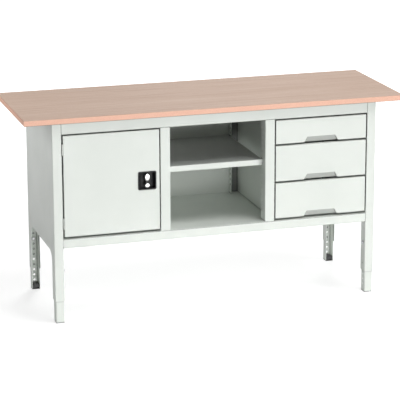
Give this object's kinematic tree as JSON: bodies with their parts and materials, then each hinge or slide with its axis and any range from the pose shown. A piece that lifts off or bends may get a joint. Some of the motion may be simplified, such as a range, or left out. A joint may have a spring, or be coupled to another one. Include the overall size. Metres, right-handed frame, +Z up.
{
  "type": "storage workbench",
  "caption": "Storage workbench with a plywood worktop on folded steel end frames, a lockable cupboard, an open bay with a shelf, drawers with recessed grips and height-adjustable legs.",
  "frame": {"origin": "on the floor, under the middle of the worktop", "axes": "+X along the bench to the drawers, +Y from the front to the back, +Z up"},
  "size_m": [1.75, 0.6, 0.93],
  "materials": {
    "grey_paint": "light grey powder coat",
    "plywood": "oiled beech plywood",
    "zinc": "zinc plated",
    "chrome": "bright plated",
    "black_plastic": "moulded, fine grain"
  },
  "bodies": {
    "feet": {"inner_leg_front_left": "grey_paint", "inner_leg_front_right": "grey_paint", "inner_leg_rear_left": "grey_paint", "inner_leg_rear_right": "grey_paint", "foot_front_left": "black_plastic", "foot_front_right": "black_plastic", "foot_rear_left": "black_plastic", "foot_rear_right": "black_plastic"},
    "carcass": {"worktop": "plywood", "end_frame_left": "grey_paint", "end_frame_right": "grey_paint", "top_front_rail": "grey_paint", "top_rear_rail": "grey_paint", "bottom_front_rail": "grey_paint", "bottom_rear_rail": "grey_paint", "floor_panel": "grey_paint", "back_panel": "grey_paint", "divider_left": "grey_paint", "divider_right": "grey_paint", "bay_shelf": "grey_paint", "bay_shelf_runner_left": "zinc", "bay_shelf_runner_right": "zinc", "cupboard_shelf": "grey_paint", "cupboard_shelf_runner_left": "zinc", "cupboard_shelf_runner_right": "zinc", "hinge_frame_leaf_upper": "grey_paint", "hinge_frame_leaf_lower": "grey_paint", "drawer_1_slide_outer_left": "zinc", "drawer_1_slide_outer_right": "zinc", "drawer_2_slide_outer_left": "zinc", "drawer_2_slide_outer_right": "zinc", "drawer_3_slide_outer_left": "zinc", "drawer_3_slide_outer_right": "zinc"},
    "door": {"door_panel": "grey_paint", "door_stiffener": "grey_paint", "hinge_door_leaf_upper": "grey_paint", "hinge_door_leaf_lower": "grey_paint", "lock_housing": "black_plastic"},
    "lock_handle": {"lock_grip": "chrome", "lock_cylinder": "chrome", "lock_cam": "zinc"},
    "drawer_1": {"drawer_1_front": "grey_paint", "drawer_1_tray": "grey_paint", "drawer_1_slide_inner_left": "zinc", "drawer_1_slide_inner_right": "zinc"},
    "drawer_1_runners": {"drawer_1_slide_middle_left": "zinc", "drawer_1_slide_middle_right": "zinc"},
    "drawer_2": {"drawer_2_front": "grey_paint", "drawer_2_tray": "grey_paint", "drawer_2_slide_inner_left": "zinc", "drawer_2_slide_inner_right": "zinc"},
    "drawer_2_runners": {"drawer_2_slide_middle_left": "zinc", "drawer_2_slide_middle_right": "zinc"},
    "drawer_3": {"drawer_3_front": "grey_paint", "drawer_3_tray": "grey_paint", "drawer_3_slide_inner_left": "zinc", "drawer_3_slide_inner_right": "zinc"},
    "drawer_3_runners": {"drawer_3_slide_middle_left": "zinc", "drawer_3_slide_middle_right": "zinc"}
  },
  "joints": [
    {"name": "height_adjust", "type": "slide", "parent": "feet", "child": "carcass", "axis": [0, 0, 1], "range_m": [-0.1, 0]},
    {"name": "door_hinge", "type": "hinge", "parent": "carcass", "child": "door", "pos_m": [-0.705, -0.275, 0.61935], "axis": [0, 0, -1], "range_deg": [0, 110]},
    {"name": "lock_turn", "type": "hinge", "parent": "door", "child": "lock_handle", "pos_m": [-0.327, -0.275, 0.61935], "axis": [0, -1, 0], "range_deg": [0, 90]},
    {"name": "drawer_1_slide", "type": "slide", "parent": "carcass", "child": "drawer_1", "axis": [0, -1, 0], "range_m": [0, 0.42]},
    {"name": "drawer_1_runner_slide", "type": "slide", "parent": "carcass", "child": "drawer_1_runners", "axis": [0, -1, 0], "range_m": [0, 0.21]},
    {"name": "drawer_2_slide", "type": "slide", "parent": "carcass", "child": "drawer_2", "axis": [0, -1, 0], "range_m": [0, 0.42]},
    {"name": "drawer_2_runner_slide", "type": "slide", "parent": "carcass", "child": "drawer_2_runners", "axis": [0, -1, 0], "range_m": [0, 0.21]},
    {"name": "drawer_3_slide", "type": "slide", "parent": "carcass", "child": "drawer_3", "axis": [0, -1, 0], "range_m": [0, 0.42]},
    {"name": "drawer_3_runner_slide", "type": "slide", "parent": "carcass", "child": "drawer_3_runners", "axis": [0, -1, 0], "range_m": [0, 0.21]}
  ],
  "couplings": [
    {"joint": "drawer_1_runner_slide", "follows": "drawer_1_slide", "ratio": 0.5},
    {"joint": "drawer_2_runner_slide", "follows": "drawer_2_slide", "ratio": 0.5},
    {"joint": "drawer_3_runner_slide", "follows": "drawer_3_slide", "ratio": 0.5}
  ]
}
